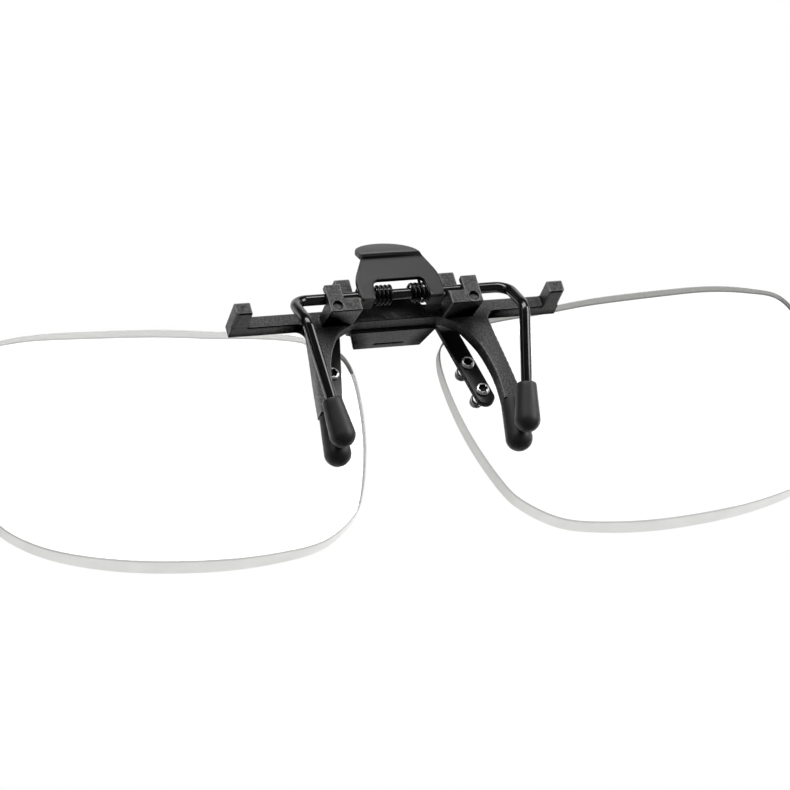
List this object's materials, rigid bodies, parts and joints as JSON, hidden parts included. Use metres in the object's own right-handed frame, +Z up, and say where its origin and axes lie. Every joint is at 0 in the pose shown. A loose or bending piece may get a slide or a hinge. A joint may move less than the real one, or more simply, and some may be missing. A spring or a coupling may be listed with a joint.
{
  "type": "clip on flip up spectacle magnifier",
  "caption": "Clip-on flip-up magnifier: a sprung clip grips spectacles at the nose and carries rimless lenses on a hinged bracket.",
  "frame": {"origin": "middle of the bridge's lower edge, on the side that faces the spectacles", "axes": "+X to the wearer's right, +Y forward away from the face, +Z up"},
  "size_m": [0.1246, 0.0161, 0.0431],
  "materials": {
    "frame_plastic": "moulded black nylon with a fine grain, satin",
    "bracket_plastic": "moulded black nylon, satin",
    "rubber": "soft black rubber, matt",
    "wire_enamel": "glossy black coated steel wire",
    "lever_enamel": "smooth satin black coating on bent sheet",
    "arm_enamel": "satin black coated strip",
    "nut_enamel": "glossy black",
    "spring_steel": "blackened spring wire",
    "bright_steel": "bright steel",
    "nylon": "natural nylon",
    "soft_washer": "soft black washer",
    "lens": "clear, with a fine-ground pale edge"
  },
  "bodies": {
    "clip": {"clip_frame": "frame_plastic", "leg_sleeve_left": "rubber", "leg_sleeve_right": "rubber", "jaw_spring_left": "spring_steel", "jaw_spring_right": "spring_steel", "flip_pin": "bright_steel", "hinge_washers": "nylon"},
    "jaw": {"jaw_wire": "wire_enamel", "thumb_lever": "lever_enamel", "jaw_boot_left": "rubber", "jaw_boot_right": "rubber"},
    "lens_carrier": {"flip_bracket": "bracket_plastic", "lens_arm_left": "arm_enamel", "lens_arm_right": "arm_enamel", "lens_left": "lens", "lens_right": "lens", "lens_bushes_left": "nylon", "lens_bushes_right": "nylon", "lens_screws_left": "bright_steel", "lens_screws_right": "bright_steel", "lens_washers_left": "soft_washer", "lens_washers_right": "soft_washer", "cap_nuts_left": "nut_enamel", "cap_nuts_right": "nut_enamel"}
  },
  "joints": [
    {"name": "jaw_squeeze", "type": "hinge", "parent": "clip", "child": "jaw", "pos_m": [0, -0.0034, 0.0018], "axis": [-1, 0, 0], "range_deg": [0, 22], "stiffness_Nm_per_rad": 0.06, "springref_deg": -20.05, "deforming": ["jaw_spring_left", "jaw_spring_right"]},
    {"name": "lens_flip", "type": "hinge", "parent": "clip", "child": "lens_carrier", "pos_m": [0, 0.0038, 0.002], "axis": [1, 0, 0], "range_deg": [0, 90]}
  ]
}
